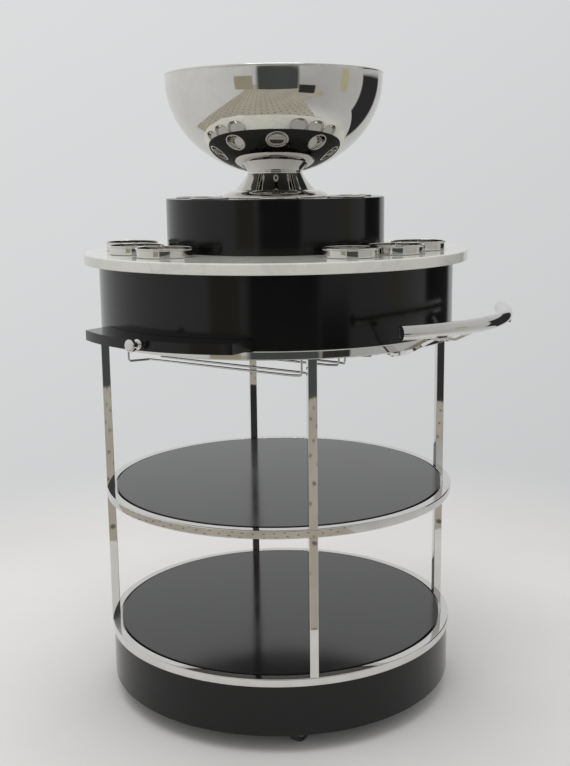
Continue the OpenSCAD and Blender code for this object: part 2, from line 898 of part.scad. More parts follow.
skirt_wall();
caster_board();
base_ring();
base_panel();
lower_posts();
mid_ring();
mid_panel();
upper_posts();
top_ring();
apron_floor();
apron_drum();
sub_top();
stone_top();
upper_drum();
handle_tube();
handle_plugs();
ring_plug();
tray_guides();
caster_plates();
caster_screws();
bracket_screws();
rack_pads();
tray_board();
tray_knob();
bowl();
bowl_foot();
for (i = [1:2])
    handle_bracket(i);
for (i = [1:rack_n])
    glass_rack(i);
for (i = caster_ids)
    caster_fork(i);
for (i = caster_ids)
    caster_axle(i);
for (i = caster_ids)
    caster_wheel(i);
for (i = cup_ids)
    cup(i);
for (i = [1:dish_n])
    dish(i);
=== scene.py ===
"""Looks of the round serving cart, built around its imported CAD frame. Metres, +Z up."""

import math

import bmesh
import bpy
from mathutils import Matrix, Vector


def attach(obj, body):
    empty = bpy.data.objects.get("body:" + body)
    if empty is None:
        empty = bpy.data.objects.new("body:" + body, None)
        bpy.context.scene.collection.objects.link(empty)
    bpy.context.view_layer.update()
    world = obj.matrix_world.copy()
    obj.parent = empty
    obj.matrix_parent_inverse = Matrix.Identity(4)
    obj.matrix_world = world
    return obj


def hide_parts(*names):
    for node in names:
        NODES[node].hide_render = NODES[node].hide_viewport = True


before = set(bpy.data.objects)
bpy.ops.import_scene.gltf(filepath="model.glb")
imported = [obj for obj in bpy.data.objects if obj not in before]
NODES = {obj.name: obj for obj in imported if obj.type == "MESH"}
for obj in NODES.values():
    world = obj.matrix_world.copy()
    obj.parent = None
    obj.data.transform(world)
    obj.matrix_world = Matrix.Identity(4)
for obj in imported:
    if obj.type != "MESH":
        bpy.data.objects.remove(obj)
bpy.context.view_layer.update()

MM = 0.001
SCENE = bpy.context.scene
SCENE.view_settings.view_transform = "Standard"


# Sizes, in millimetres, as in the CAD
# Rings and posts: square bar, with a ledge inside each ring
RING_R, BAR = 350.0, 16.0
LEDGE_W, LEDGE_T = 12.0, 3.0
RING_IN = RING_R - BAR
Z_BASE, Z_MID, Z_TOP = 132.0, 411.0, 728.0
POST_R = RING_R - BAR / 2
POST_AZ = [45.0 + 90.0 * i for i in range(4)]
# Panels on the ledges, and the two large drums
PANEL_GAP, PANEL_T = 4.0, 14.0
DRUM_INSET, WALL_T = 3.0, 12.0
PANEL_R = RING_IN - PANEL_GAP
DRUM_R = RING_R - DRUM_INSET
Z_SKIRT, APRON_H = 35.0, 130.0
Z_APRON = Z_TOP + BAR
Z_STONE = Z_APRON + APRON_H
# The board under the tray stands proud of the ring, and the tray runs on it
FLOOR_LIFT, TRAY_GAP = 1.5, 0.3
TRAY_HALF, TRAY_T = 167.5, 18.0
SLOT_GAP = 0.5
Z_DECK = Z_APRON + FLOOR_LIFT
Z_TRAY = Z_DECK + TRAY_GAP
# Stone top and the raised drum
STONE_R, STONE_T = 375.0, 20.0
Z_WORK = Z_STONE + STONE_T
UPPER_R, UPPER_H, UPPER_WALL, UPPER_TOP_T = 213.5, 100.0, 10.0, 12.0
Z_DRUM = Z_WORK + UPPER_H
# Loose pieces stand this far off what carries them
SEAT_GAP = 0.2
DISH_COUNT, DISH_FIRST_AZ, DISH_R = 7, 38.2, 163.0
DISH_BODY_R, WELL_GAP = 33.0, 0.4
DISH_AZ = [DISH_FIRST_AZ + 360.0 / DISH_COUNT * i for i in range(DISH_COUNT)]
SHEET = 1.5
# Facets of a full circle
FINE, ROUND = 256, 96
BOWL_FACETS, DISH_FACETS, CUP_FACETS = 384, 128, 160
PLUG_FACETS, PAD_FACETS, PEG_FACETS, WIRE_FACETS = 64, 40, 32, 24


# Nodes and materials
def node_material(name):
    """A node material, with its tree and its Principled shader."""
    material = bpy.data.materials.new(name)
    material.use_nodes = True
    tree = material.node_tree
    shader = tree.nodes["Principled BSDF"]
    return material, tree, shader


def add(tree, kind, **settings):
    """A new node of a kind, with its settings, and with inputs as a dict of socket values."""
    node = tree.nodes.new(kind)
    inputs = settings.pop("inputs", {})
    for key, value in settings.items():
        setattr(node, key, value)
    for key, value in inputs.items():
        node.inputs[key].default_value = value
    return node


def ramp(tree, source, stops):
    """A colour ramp on source, with stops of (position, grey or colour)."""
    node = add(tree, "ShaderNodeValToRGB")
    points = node.color_ramp.elements
    while len(points) < len(stops):
        points.new(0.5)
    for point, (position, value) in zip(points, stops):
        point.position = position
        colour = (value,) * 3 if isinstance(value, float) else value
        point.color = (*colour, 1.0)
    tree.links.new(source, node.inputs["Fac"])
    return node.outputs["Color"]


def noise(tree, vector, scale, detail, rough, distortion=0.0):
    """Noise at vector; scale counts its lumps in a metre."""
    node = add(tree, "ShaderNodeTexNoise", inputs={
        "Scale": scale, "Detail": detail, "Roughness": rough, "Distortion": distortion})
    tree.links.new(vector, node.inputs["Vector"])
    return node.outputs["Fac"]


def bump(tree, height, distance, strength, before=None):
    """A bumped normal, distance metres deep, on top of the normal before."""
    node = add(tree, "ShaderNodeBump", inputs={"Distance": distance, "Strength": strength})
    tree.links.new(height, node.inputs["Height"])
    if before is not None:
        tree.links.new(before, node.inputs["Normal"])
    return node.outputs["Normal"]


def mixed(tree, a, b, factor, mode="MIX"):
    """Colour a mixed with b; each of these may be a socket or a plain value."""
    node = add(tree, "ShaderNodeMix", data_type="RGBA", blend_type=mode)
    for socket, value in ((node.inputs["Factor"], factor), (node.inputs[6], a), (node.inputs[7], b)):
        if isinstance(value, bpy.types.NodeSocket):
            tree.links.new(value, socket)
        elif isinstance(value, float):
            socket.default_value = value
        else:
            socket.default_value = (*value, 1.0)
    return node.outputs[2]


def metal(name, light, dark, rough_low, rough_high, waves):
    """Polished plated metal: a faint cloud of handling marks, hairline scratches and a slow ripple."""
    material, tree, shader = node_material(name)
    at = add(tree, "ShaderNodeTexCoord").outputs["Object"]
    haze = noise(tree, at, 22.0, 4.0, 0.6)
    hair = noise(tree, at, 900.0, 2.0, 0.6)
    ripple = noise(tree, at, 34.0, 1.0, 0.4)
    tree.links.new(ramp(tree, haze, [(0.3, dark), (0.62, light)]), shader.inputs["Base Color"])
    marks = mixed(tree, ramp(tree, haze, [(0.35, rough_low), (0.75, rough_high)]),
                  ramp(tree, hair, [(0.45, rough_low), (0.8, rough_high)]), 0.4)
    tree.links.new(marks, shader.inputs["Roughness"])
    shader.inputs["Metallic"].default_value = 1.0
    slow = bump(tree, ripple, waves, 1.0)
    fine = bump(tree, hair, 0.000004, 0.6, slow)
    tree.links.new(fine, shader.inputs["Normal"])
    return material


def lacquer(name, grey, ior):
    """Satin black lacquer on board: orange peel, faint rolled grain, and dust that lifts the black."""
    material, tree, shader = node_material(name)
    at = add(tree, "ShaderNodeTexCoord").outputs["Object"]
    peel = noise(tree, at, 420.0, 2.0, 0.5)
    cloud = noise(tree, at, 9.0, 4.0, 0.6)
    dust = noise(tree, at, 1500.0, 1.0, 0.5)
    base = ramp(tree, cloud, [(0.3, (grey, grey, grey)), (0.75, (grey * 1.5, grey * 1.48, grey * 1.4))])
    specks = ramp(tree, dust, [(0.74, 0.0), (0.8, 1.0)])
    tint = mixed(tree, base, (0.03, 0.029, 0.027), specks)
    tree.links.new(tint, shader.inputs["Base Color"])
    tree.links.new(ramp(tree, cloud, [(0.3, 0.11), (0.75, 0.17)]), shader.inputs["Roughness"])
    shader.inputs["IOR"].default_value = ior
    tree.links.new(bump(tree, peel, 0.00001, 0.5), shader.inputs["Normal"])
    return material


def stone(name):
    """Pale polished stone: soft warm clouds, thin grey veins and small grains."""
    material, tree, shader = node_material(name)
    at = add(tree, "ShaderNodeTexCoord").outputs["Object"]
    cloud = noise(tree, at, 5.0, 5.0, 0.6)
    warp = noise(tree, at, 3.2, 4.0, 0.65, 1.6)
    grain = noise(tree, at, 380.0, 2.0, 0.6)
    fleck = noise(tree, at, 130.0, 3.0, 0.7)
    body = ramp(tree, cloud, [(0.3, (0.595, 0.60, 0.545)), (0.7, (0.65, 0.655, 0.60))])
    veins = ramp(tree, warp, [(0.465, 0.0), (0.497, 0.3), (0.503, 0.3), (0.54, 0.0)])
    veined = mixed(tree, body, (0.45, 0.45, 0.43), veins)
    flecks = ramp(tree, fleck, [(0.66, 0.0), (0.72, 0.45)])
    flecked = mixed(tree, veined, (0.36, 0.36, 0.34), flecks)
    grained = mixed(tree, flecked, ramp(tree, grain, [(0.3, 0.93), (0.6, 1.0)]), 0.8, "MULTIPLY")
    tree.links.new(grained, shader.inputs["Base Color"])
    tree.links.new(ramp(tree, fleck, [(0.3, 0.04), (0.8, 0.09)]), shader.inputs["Roughness"])
    tree.links.new(bump(tree, grain, 0.00001, 0.3), shader.inputs["Normal"])
    return material


def plain(name, colour, rough, metallic=0.0, scale=300.0):
    """Board, rubber, plastic or zinc that mostly stays out of sight: mottled, with a fine tooth."""
    material, tree, shader = node_material(name)
    at = add(tree, "ShaderNodeTexCoord").outputs["Object"]
    mottle = noise(tree, at, scale / 6, 4.0, 0.6)
    tooth = noise(tree, at, scale, 3.0, 0.6)
    low = tuple(c * 0.8 for c in colour)
    high = tuple(min(1.0, c * 1.15) for c in colour)
    tree.links.new(ramp(tree, mottle, [(0.3, low), (0.7, high)]), shader.inputs["Base Color"])
    tree.links.new(ramp(tree, tooth, [(0.3, rough * 0.85), (0.7, min(1.0, rough * 1.15))]),
                   shader.inputs["Roughness"])
    shader.inputs["Metallic"].default_value = metallic
    tree.links.new(bump(tree, tooth, 0.00003, 0.5), shader.inputs["Normal"])
    return material


CHROME = metal("chrome_bar", (0.74, 0.73, 0.71), (0.68, 0.67, 0.645), 0.015, 0.045, 0.00003)
MIRROR = metal("polished_steel", (0.73, 0.715, 0.68), (0.67, 0.655, 0.615), 0.015, 0.05, 0.00002)
LACQUER = lacquer("satin_black", 0.003, 1.41)
SHELF_LACQUER = lacquer("shelf_black", 0.0035, 1.56)
BOARD = plain("painted_board", (0.018, 0.018, 0.019), 0.55)
STONE = stone("pale_stone")
PLUG = plain("black_plug", (0.012, 0.012, 0.013), 0.4)
ZINC = plain("caster_zinc", (0.52, 0.53, 0.54), 0.32, 1.0, 220.0)
RUBBER = plain("tyre_rubber", (0.03, 0.03, 0.032), 0.7)


# Shapes, drawn in millimetres
# The half angle above which a corner stays a point, and the largest share of a side that one may take
ALMOST_STRAIGHT, MOST_OF_HALF = math.radians(89.5), 0.49


def corner(a, c, b, radius, steps):
    """The points of a round corner at c between a and b, in two or three dimensions."""
    a, b, c = Vector(a), Vector(b), Vector(c)
    u, v = (a - c).normalized(), (b - c).normalized()
    half = u.angle(v) / 2
    if radius <= 0 or half > ALMOST_STRAIGHT:
        return [tuple(c)]
    reach = min(radius / math.tan(half), MOST_OF_HALF * (a - c).length, MOST_OF_HALF * (b - c).length)
    r = reach * math.tan(half)
    middle = c + (u + v).normalized() * (r / math.sin(half))
    start, end = c + u * reach - middle, c + v * reach - middle
    turn = start.angle(end)
    out = []
    for k in range(steps + 1):
        t = k / steps
        arm = (start * math.sin((1 - t) * turn) + end * math.sin(t * turn)) / math.sin(turn)
        out.append(tuple(middle + arm))
    return out


def rounded(points, radii, steps=3, closed=True):
    """A polygon or route with its corners rounded; radii is one number or one for each point."""
    n = len(points)
    radii = radii if isinstance(radii, (list, tuple)) else [radii] * n
    out = []
    for i, p in enumerate(points):
        if not closed and i in (0, n - 1):
            out.append(tuple(Vector(p)))
        else:
            out += corner(points[i - 1], p, points[(i + 1) % n], radii[i], steps)
    return out


def lathe(bm, profile, segments, place=None):
    """Turns a closed profile of (radius, height) round +Z, then puts it at place."""
    place = place or Matrix.Identity(4)
    rows = []
    for r, z in profile:
        if r < 1e-6:
            rows.append([bm.verts.new(place @ Vector((0, 0, z)))])
        else:
            rows.append([bm.verts.new(place @ Vector((
                r * math.cos(2 * math.pi * k / segments), r * math.sin(2 * math.pi * k / segments), z)))
                for k in range(segments)])
    faces = []
    for a, b in zip(rows, rows[1:] + rows[:1]):
        if len(a) == 1 and len(b) == 1:
            continue
        for k in range(segments):
            m = (k + 1) % segments
            if len(a) == 1:
                faces.append(bm.faces.new((a[0], b[m], b[k])))
            elif len(b) == 1:
                faces.append(bm.faces.new((a[k], a[m], b[0])))
            else:
                faces.append(bm.faces.new((a[k], a[m], b[m], b[k])))
    return faces


def prism(bm, outline, low, high, place=None):
    """A closed outline in XY, drawn up from low to high."""
    place = place or Matrix.Identity(4)
    lower = [bm.verts.new(place @ Vector((x, y, low))) for x, y in outline]
    upper = [bm.verts.new(place @ Vector((x, y, high))) for x, y in outline]
    n = len(outline)
    bm.faces.new(lower[::-1])
    bm.faces.new(upper)
    for k in range(n):
        m = (k + 1) % n
        bm.faces.new((lower[k], lower[m], upper[m], upper[k]))


def sweep(bm, route, radius, sides):
    """A round rod along a route of points, with flat ends."""
    points = [Vector(p) for p in route]
    last = len(points) - 1
    side, rows = None, []
    for k, p in enumerate(points):
        ahead = (points[min(k + 1, last)] - p).normalized() if k < last else Vector((0, 0, 0))
        behind = (p - points[max(k - 1, 0)]).normalized() if k > 0 else Vector((0, 0, 0))
        along = (ahead + behind).normalized()
        if side is None:
            side = along.orthogonal().normalized()
        side = (side - along * side.dot(along)).normalized()
        other = along.cross(side)
        rows.append([bm.verts.new(p + radius * (
            side * math.cos(2 * math.pi * j / sides) + other * math.sin(2 * math.pi * j / sides)))
            for j in range(sides)])
    for a, b in zip(rows, rows[1:]):
        for j in range(sides):
            m = (j + 1) % sides
            bm.faces.new((a[j], a[m], b[m], b[j]))
    bm.faces.new(rows[0][::-1])
    bm.faces.new(rows[-1])


def soften(bm, width, steps=2, angle=40.0):
    """Rounds bm's edges that turn by more than angle, by width."""
    limit = math.radians(angle)
    sharp = [e for e in bm.edges if e.is_manifold and e.calc_face_angle(0.0) > limit]
    bmesh.ops.bevel(bm, geom=sharp, offset=width, segments=steps, profile=0.5, affect="EDGES",
                    clamp_overlap=True)


def piece(name, bm, materials, body, nodes, angle=35.0, weighted=True):
    """Turns bm, in millimetres, into a piece of the object that rides on body and stands for nodes."""
    bmesh.ops.scale(bm, vec=(MM, MM, MM), verts=bm.verts)
    bmesh.ops.recalc_face_normals(bm, faces=bm.faces)
    mesh = bpy.data.meshes.new(name)
    bm.to_mesh(mesh)
    bm.free()
    mesh.shade_smooth()
    mesh.set_sharp_from_angle(angle=math.radians(angle))
    obj = bpy.data.objects.new(name, mesh)
    SCENE.collection.objects.link(obj)
    for material in materials if isinstance(materials, list) else [materials]:
        mesh.materials.append(material)
    if weighted:
        smooth = obj.modifiers.new("even_normals", "WEIGHTED_NORMAL")
        smooth.keep_sharp = True
    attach(obj, body)
    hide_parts(*nodes)


def cut(bm, cutter):
    """bm less cutter; both are closed and in millimetres."""
    meshes, objects = [], []
    for part in (bm, cutter):
        bmesh.ops.recalc_face_normals(part, faces=part.faces)
        mesh = bpy.data.meshes.new("cut")
        part.to_mesh(mesh)
        part.free()
        obj = bpy.data.objects.new("cut", mesh)
        SCENE.collection.objects.link(obj)
        meshes.append(mesh)
        objects.append(obj)
    boolean = objects[0].modifiers.new("cut", "BOOLEAN")
    boolean.operation = "DIFFERENCE"
    boolean.solver = "EXACT"
    boolean.object = objects[1]
    bpy.context.view_layer.update()
    depsgraph = bpy.context.evaluated_depsgraph_get()
    result = bmesh.new()
    result.from_mesh(objects[0].evaluated_get(depsgraph).to_mesh())
    for obj in objects:
        bpy.data.objects.remove(obj)
    for mesh in meshes:
        bpy.data.meshes.remove(mesh)
    return result


def turned(azimuth, radius=0.0, z=0.0):
    """A place at radius in a direction from -Y toward +X, facing outward."""
    return Matrix.Rotation(math.radians(azimuth), 4, "Z") @ Matrix.Translation((0, -radius, z))


QUARTER_X = Matrix.Rotation(math.radians(90), 4, "X")
QUARTER_Y = Matrix.Rotation(math.radians(90), 4, "Y")
QUARTER_BACK_Y = Matrix.Rotation(math.radians(-90), 4, "Y")


# Frame
def ring_profile(z):
    """The section of a ring that stands on z."""
    points = [(RING_IN - LEDGE_W, z), (RING_R, z), (RING_R, z + BAR), (RING_IN, z + BAR),
              (RING_IN, z + LEDGE_T), (RING_IN - LEDGE_W, z + LEDGE_T)]
    return rounded(points, [0.4, 2.0, 2.2, 0.8, 0.0, 0.4], 4)


for ring, z in (("base_ring", Z_BASE), ("mid_ring", Z_MID), ("top_ring", Z_TOP)):
    bm = bmesh.new()
    lathe(bm, ring_profile(z), FINE)
    piece(ring + "_bar", bm, CHROME, "cart", [ring])

HALF_BAR = BAR / 2
POST_SECTION = [(-HALF_BAR, -HALF_BAR), (HALF_BAR, -HALF_BAR), (HALF_BAR, HALF_BAR), (-HALF_BAR, HALF_BAR)]
for posts, low, high in (("lower_posts", Z_BASE + BAR, Z_MID), ("upper_posts", Z_MID + BAR, Z_TOP)):
    bm = bmesh.new()
    for azimuth in POST_AZ:
        prism(bm, rounded(POST_SECTION, 0.9, 3), low, high, turned(azimuth, POST_R))
    piece(posts + "_bars", bm, CHROME, "cart", [posts])

for panel, z in (("base_panel", Z_BASE + LEDGE_T), ("mid_panel", Z_MID + LEDGE_T)):
    bm = bmesh.new()
    section = [(0, z), (PANEL_R, z), (PANEL_R, z + PANEL_T), (0, z + PANEL_T)]
    lathe(bm, rounded(section, [0, 0.6, 1.2, 0], 3), FINE)
    piece(panel + "_disc", bm, SHELF_LACQUER, "cart", [panel])


def wall_section(low, high):
    """The section of a large drum's wall."""
    return [(DRUM_R - WALL_T, low), (DRUM_R, low), (DRUM_R, high), (DRUM_R - WALL_T, high)]


bm = bmesh.new()
lathe(bm, rounded(wall_section(Z_SKIRT, Z_BASE), [0.5, 1.5, 0.8, 0.5], 3), FINE)
piece("skirt_drum", bm, LACQUER, "cart", ["skirt_wall"])

# The apron drum, with the opening that the tray slides through
bm = bmesh.new()
lathe(bm, rounded(wall_section(Z_APRON, Z_STONE), [0.5, 0.8, 0.8, 0.5], 3), FINE)
opening = bmesh.new()
SLOT_HALF, BEYOND = TRAY_HALF + SLOT_GAP, STONE_R
prism(opening, [(-SLOT_HALF, -BEYOND), (SLOT_HALF, -BEYOND), (SLOT_HALF, 0), (-SLOT_HALF, 0)],
      Z_TOP, Z_TRAY + TRAY_T + TRAY_GAP)
piece("apron_wall", cut(bm, opening), LACQUER, "cart", ["apron_drum"])

bm = bmesh.new()
slab = [(0, Z_STONE), (STONE_R, Z_STONE), (STONE_R, Z_WORK), (0, Z_WORK)]
lathe(bm, rounded(slab, [0, 1.4, 3.2, 0], 6), FINE)
piece("stone_slab", bm, STONE, "cart", ["stone_top"])

# The upper drum, with its wells
bm = bmesh.new()
lathe(bm, rounded([(UPPER_R - UPPER_WALL, Z_WORK), (UPPER_R, Z_WORK), (UPPER_R, Z_DRUM), (0, Z_DRUM),
                   (0, Z_DRUM - UPPER_TOP_T), (UPPER_R - UPPER_WALL, Z_DRUM - UPPER_TOP_T)],
                  [0.5, 0.6, 1.2, 0, 0, 0.5], 4), FINE)
wells = bmesh.new()
WELL_R, PAST = DISH_BODY_R + WELL_GAP, 5.0
well = [(0, -UPPER_TOP_T - PAST), (WELL_R, -UPPER_TOP_T - PAST), (WELL_R, PAST), (0, PAST)]
for azimuth in DISH_AZ:
    lathe(wells, well, ROUND, turned(azimuth, DISH_R, Z_DRUM))
piece("upper_drum_shell", cut(bm, wells), LACQUER, "cart", ["upper_drum"])


# Bowl, dishes and cups
BOWL_R, BOWL_DEPTH, BOWL_WALL = 209.5, 180.4, 2.0
BOWL_RISE, BOWL_STRAIGHT, BEAD_R = 43.0, 10.0, 2.2
Z_AXIS = Z_DRUM + BOWL_RISE + BOWL_DEPTH
Z_BEAD = Z_AXIS + BOWL_STRAIGHT - BEAD_R
STEPS = 96


def half_ellipse(radius, depth):
    """The section of a bowl from its lowest point up to its widest."""
    turns = [math.pi / 2 * i / STEPS for i in range(STEPS + 1)]
    return [(radius * math.sin(t), Z_AXIS - depth * math.cos(t)) for t in turns]


bm = bmesh.new()
outer = half_ellipse(BOWL_R, BOWL_DEPTH)
inner = half_ellipse(BOWL_R - BOWL_WALL, BOWL_DEPTH - BOWL_WALL)[::-1]
# The bead is a circle that meets the two faces of the wall this many degrees below its middle
meet = math.degrees(math.acos(BOWL_WALL / 2 / BEAD_R))
bead = []
BEAD_STEPS = 24
for i in range(BEAD_STEPS + 1):
    t = math.radians(-meet + (180 + 2 * meet) * i / BEAD_STEPS)
    bead.append((BOWL_R - BOWL_WALL / 2 + BEAD_R * math.cos(t), Z_BEAD + BEAD_R * math.sin(t)))
lathe(bm, outer + bead + inner, BOWL_FACETS)
piece("bowl_shell", bm, MIRROR, "bowl", ["bowl"], angle=50.0, weighted=False)

NECK_R, CREASE_R, FLANGE_R = 53.5, 78.8, 106.0
FOOT_T, CONE_DIP, CONE_STEPS, WELD_GAP = 2.0, 1.8, 24, 0.05
Z_FOOT, Z_CREASE = Z_DRUM + SEAT_GAP, Z_DRUM + 14.5


def bowl_z(r):
    """The height of the bowl's outside at radius r."""
    return Z_AXIS - BOWL_DEPTH * math.sqrt(1 - (r / BOWL_R) ** 2)


Z_NECK = bowl_z(NECK_R) - WELD_GAP
cone = []
for k in range(CONE_STEPS + 1):
    t = k / CONE_STEPS
    cone.append((CREASE_R + (NECK_R - CREASE_R) * t - CONE_DIP * math.sin(math.pi * t),
                 Z_CREASE + (Z_NECK - FOOT_T - Z_CREASE) * t))
# The flange is part dome, part cone, between its thin edge and the crease
EDGE_T, SEAT_W, DOMED, DOME_STEPS = 1.4, 9.0, 0.6, 16
flange = []
for k in range(DOME_STEPS):
    t = k / DOME_STEPS
    out_share = (1 - t) * (1 - DOMED) + math.cos(math.pi / 2 * t) * DOMED
    up_share = t * (1 - DOMED) + math.sin(math.pi / 2 * t) * DOMED
    flange.append((CREASE_R + (FLANGE_R - CREASE_R) * out_share,
                   Z_FOOT + EDGE_T + (Z_CREASE - Z_FOOT - EDGE_T) * up_share))
crease = corner(flange[-1], cone[0], cone[1], 0.6, 4)
seat_in, seat_out = (FLANGE_R - SEAT_W, Z_FOOT), (FLANGE_R, Z_FOOT)
foot = [seat_in] + corner(seat_in, seat_out, flange[0], 0.4, 3) + flange + crease
bm = bmesh.new()
lathe(bm, foot + cone[1:] + [(NECK_R, Z_NECK), (NECK_R - FOOT_T, bowl_z(NECK_R - FOOT_T) - WELD_GAP)]
      + [(r - FOOT_T, z - FOOT_T) for r, z in cone[::-1]], FINE)
piece("bowl_stand", bm, MIRROR, "bowl", ["bowl_foot"], angle=50.0, weighted=False)

DISH_RIM_R, DISH_RIM_H, DISH_LOW = 36.5, 2.6, -28.0
DISH_IN_R = DISH_BODY_R - SHEET
dish_profile = rounded(
    [(0, DISH_LOW), (DISH_BODY_R, DISH_LOW), (DISH_BODY_R, 0), (DISH_RIM_R, 0), (DISH_RIM_R, DISH_RIM_H),
     (DISH_IN_R, DISH_RIM_H), (DISH_IN_R, DISH_LOW + SHEET), (0, DISH_LOW + SHEET)],
    [0, 6.5, 0.4, 0.9, 1.2, 1.1, 5.5, 0], 5)
for i, azimuth in enumerate(DISH_AZ, 1):
    bm = bmesh.new()
    lathe(bm, dish_profile, DISH_FACETS, turned(azimuth, DISH_R, Z_DRUM + SEAT_GAP))
    piece(f"dish_pan_{i}", bm, MIRROR, f"dish_{i}", [f"dish_{i}"], angle=50.0)

CUP_BODY_R, CUP_LIP_R, CUP_LIP_T, CUP_H = 50.0, 52.0, 2.0, 17.0
cup_profile = rounded(
    [(0, 0), (CUP_BODY_R, 0), (CUP_BODY_R, CUP_H - 2 * CUP_LIP_T), (CUP_LIP_R, CUP_H - CUP_LIP_T),
     (CUP_LIP_R, CUP_H), (CUP_BODY_R - SHEET, CUP_H), (CUP_BODY_R - SHEET, SHEET), (0, SHEET)],
    [0, 1.6, 0.8, 0.9, 1.0, 0.9, 2.5, 0], 5)
# Two groups of three cups, each round its own middle
CUP_R, CUP_STEP, CUP_GROUPS = 284.0, 22.5, (85.2, -32.3)
CUP_AZ = [middle + CUP_STEP * k for middle in CUP_GROUPS for k in (-1, 0, 1)]
for i, azimuth in enumerate(CUP_AZ, 1):
    bm = bmesh.new()
    lathe(bm, cup_profile, CUP_FACETS, turned(azimuth, CUP_R, Z_WORK + SEAT_GAP))
    piece(f"cup_dish_{i}", bm, MIRROR, f"cup_{i}", [f"cup_{i}"], angle=50.0)


# Push handle: the tube's middle follows an arc of ARC_R round (ARC_X, 0), HALF_ARC degrees to each side
ARC_X, ARC_R, HALF_ARC = 135.0, 326.0, 38.0
HANDLE_RISE = 34.0
Z_TUBE = Z_APRON + HANDLE_RISE
TUBE_R, TUBE_IN = 12.5, 11.0
TURNS, SIDES = 96, 48


def on_arc(angle, across=0.0, up=0.0):
    """A point of the handle's arc, moved outward and up."""
    a = math.radians(angle)
    return Vector((ARC_X + (ARC_R + across) * math.cos(a), (ARC_R + across) * math.sin(a), Z_TUBE + up))


def tube_section(angle):
    """One ring of the tube's wall: its outside, then its inside."""
    return [on_arc(angle, r * math.cos(2 * math.pi * j / SIDES), r * math.sin(2 * math.pi * j / SIDES))
            for r in (TUBE_R, TUBE_IN) for j in range(SIDES)]


bm = bmesh.new()
angles = [-HALF_ARC + 2 * HALF_ARC * k / TURNS for k in range(TURNS + 1)]
rows = [[bm.verts.new(p) for p in tube_section(angle)] for angle in angles]
for a, b in zip(rows, rows[1:]):
    for j in range(SIDES):
        m = (j + 1) % SIDES
        bm.faces.new((a[j], a[m], b[m], b[j]))
        bm.faces.new((a[SIDES + m], a[SIDES + j], b[SIDES + j], b[SIDES + m]))
for row in (rows[0], rows[-1]):
    for j in range(SIDES):
        m = (j + 1) % SIDES
        bm.faces.new((row[j], row[m], row[SIDES + m], row[SIDES + j]))
soften(bm, 0.4)
piece("handle_rail", bm, CHROME, "cart", ["handle_tube"])

# The end plugs lie between these degrees from the tube's ends
PLUG_OUT, PLUG_IN = 0.2, 2.2
bm = bmesh.new()
for s in (-1, 1):
    outer_face, inner_face = s * (HALF_ARC - PLUG_OUT), s * (HALF_ARC - PLUG_IN)
    route = [on_arc(inner_face + (outer_face - inner_face) * k / 4) for k in range(5)]
    sweep(bm, route, TUBE_IN, PAD_FACETS)
soften(bm, 0.8, 3)
piece("handle_end_plugs", bm, PLUG, "cart", ["handle_plugs"])

HANDLE_AZ, BRACKET_AZ = 90.0, 17.6
BRACKET_W, BRACKET_T = 22.0, 5.0
# A bracket lies under the ring, climbs outward, and carries the tube on its tab, REACH from the middle
offset = math.radians(BRACKET_AZ)
REACH = ARC_X * math.cos(offset) + math.sqrt(ARC_R ** 2 - (ARC_X * math.sin(offset)) ** 2)
TUBE_SEAT, TAB_OUT = 1.0, 10.0
# How far past the ring's face it starts to climb, and how far from the tube it ends, below and above
CLIMB_LOW, CLIMB_HIGH, TOP_LOW, TOP_HIGH = 11.0, 9.0, 13.0, 15.0
Z_TAB, Z_LOW, Z_UNDER = Z_TUBE - TUBE_R + TUBE_SEAT, Z_TOP - BRACKET_T, Z_TOP - WELD_GAP
bracket_side = rounded(
    [(RING_IN, Z_LOW), (RING_R + CLIMB_LOW, Z_LOW), (REACH - TOP_LOW, Z_TAB - BRACKET_T),
     (REACH + TAB_OUT, Z_TAB - BRACKET_T), (REACH + TAB_OUT, Z_TAB), (REACH - TOP_HIGH, Z_TAB),
     (RING_R + CLIMB_HIGH, Z_UNDER), (RING_IN, Z_UNDER)],
    [0.3, 2.5, 5.0, 0.3, 0.3, 7.0, 5.0, 0.3], 5)
for i, azimuth in ((1, HANDLE_AZ - BRACKET_AZ), (2, HANDLE_AZ + BRACKET_AZ)):
    bm = bmesh.new()
    stand = turned(azimuth) @ Matrix.Translation((BRACKET_W / 2, 0, 0)) @ QUARTER_X @ QUARTER_BACK_Y
    prism(bm, bracket_side, 0, BRACKET_W, stand)
    soften(bm, 0.6, 2, 60.0)
    piece(f"handle_arm_{i}", bm, CHROME, "cart", [f"handle_bracket_{i}"])

RING_PLUG_AZ, PLUG_R, PLUG_HEAD = 52.0, 6.0, 1.2
SHANK_R, SHANK_L = 5.0, 8.0
bm = bmesh.new()
face = turned(RING_PLUG_AZ, RING_R + PLUG_HEAD, Z_TOP + HALF_BAR) @ QUARTER_X.inverted()
plug = [(0, 0), (PLUG_R, 0), (PLUG_R, PLUG_HEAD), (SHANK_R, PLUG_HEAD), (SHANK_R, SHANK_L), (0, SHANK_L)]
lathe(bm, rounded(plug, [0, 0.8, 0, 0, 0.2, 0], 3), PLUG_FACETS, face)
piece("ring_face_plug", bm, PLUG, "cart", ["ring_plug"])


# Glass racks
PAD_R, PAD_T, RACK_DROP, WIRE_R, WIRE_BEND = 6.0, 2.0, 44.0, 2.0, 5.0
Z_UNDER_FLOOR = Z_TOP + LEDGE_T
Z_PAD, Z_WIRE = Z_UNDER_FLOOR - PAD_T, Z_UNDER_FLOOR - RACK_DROP
# The wires of a rack spread by FLARE at its mouth and close by TOE at its end, each over RUN
X_MOUTH, X_END, RUN = -162.0, 171.0, 20.0
FLARE, TOE, GAP, RACK_PITCH = 37.0, 6.0, 34.0, 124.0
RACKS, MIDDLE_RACK = (1, 2, 3, 4), 2.5


